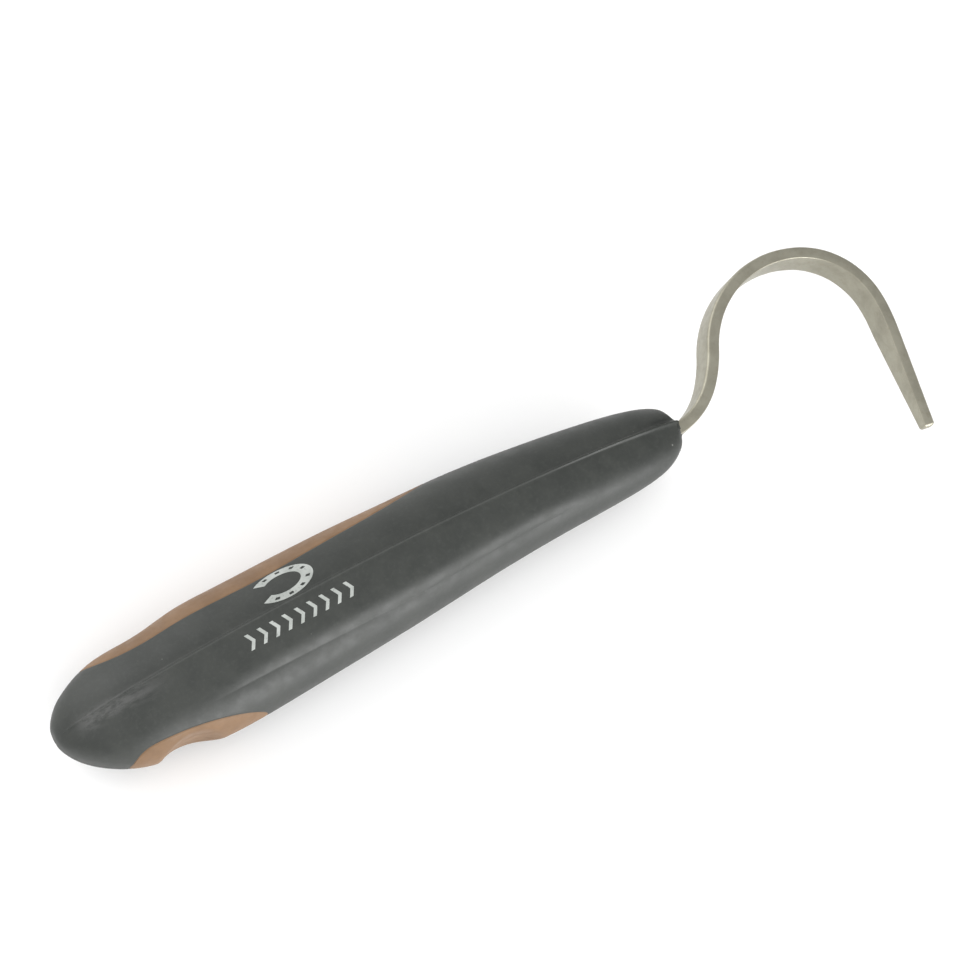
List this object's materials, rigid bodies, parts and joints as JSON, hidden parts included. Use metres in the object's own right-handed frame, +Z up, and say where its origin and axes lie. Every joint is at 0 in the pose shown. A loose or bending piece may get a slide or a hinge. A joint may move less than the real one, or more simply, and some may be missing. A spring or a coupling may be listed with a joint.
{
  "type": "hoof pick",
  "caption": "Hoof pick: flat steel bar bent into a question-mark hook, its tang moulded into a thick two-colour soft grip with a finger groove.",
  "frame": {"origin": "under the middle of the whole pick, on the surface it lies on when it lies on its side", "axes": "+X along the grip from the butt towards the hook, +Y towards the palm side of the grip, +Z up, square to the plane the hook is bent in"},
  "size_m": [0.1916, 0.0464, 0.022],
  "materials": {
    "steel": "satin nickel-coloured steel, rolled edges",
    "dark_rubber": "matt dark slate grey soft-touch rubber, slightly dusty",
    "tan_rubber": "matt tan soft-touch rubber",
    "core_plastic": "black moulded plastic, hidden inside the grip"
  },
  "bodies": {
    "root": {"pick_blade": "steel", "handle_core": "core_plastic", "palm_grip": "dark_rubber", "finger_grip": "dark_rubber", "palm_pad": "tan_rubber", "finger_pad": "tan_rubber"}
  },
  "joints": []
}
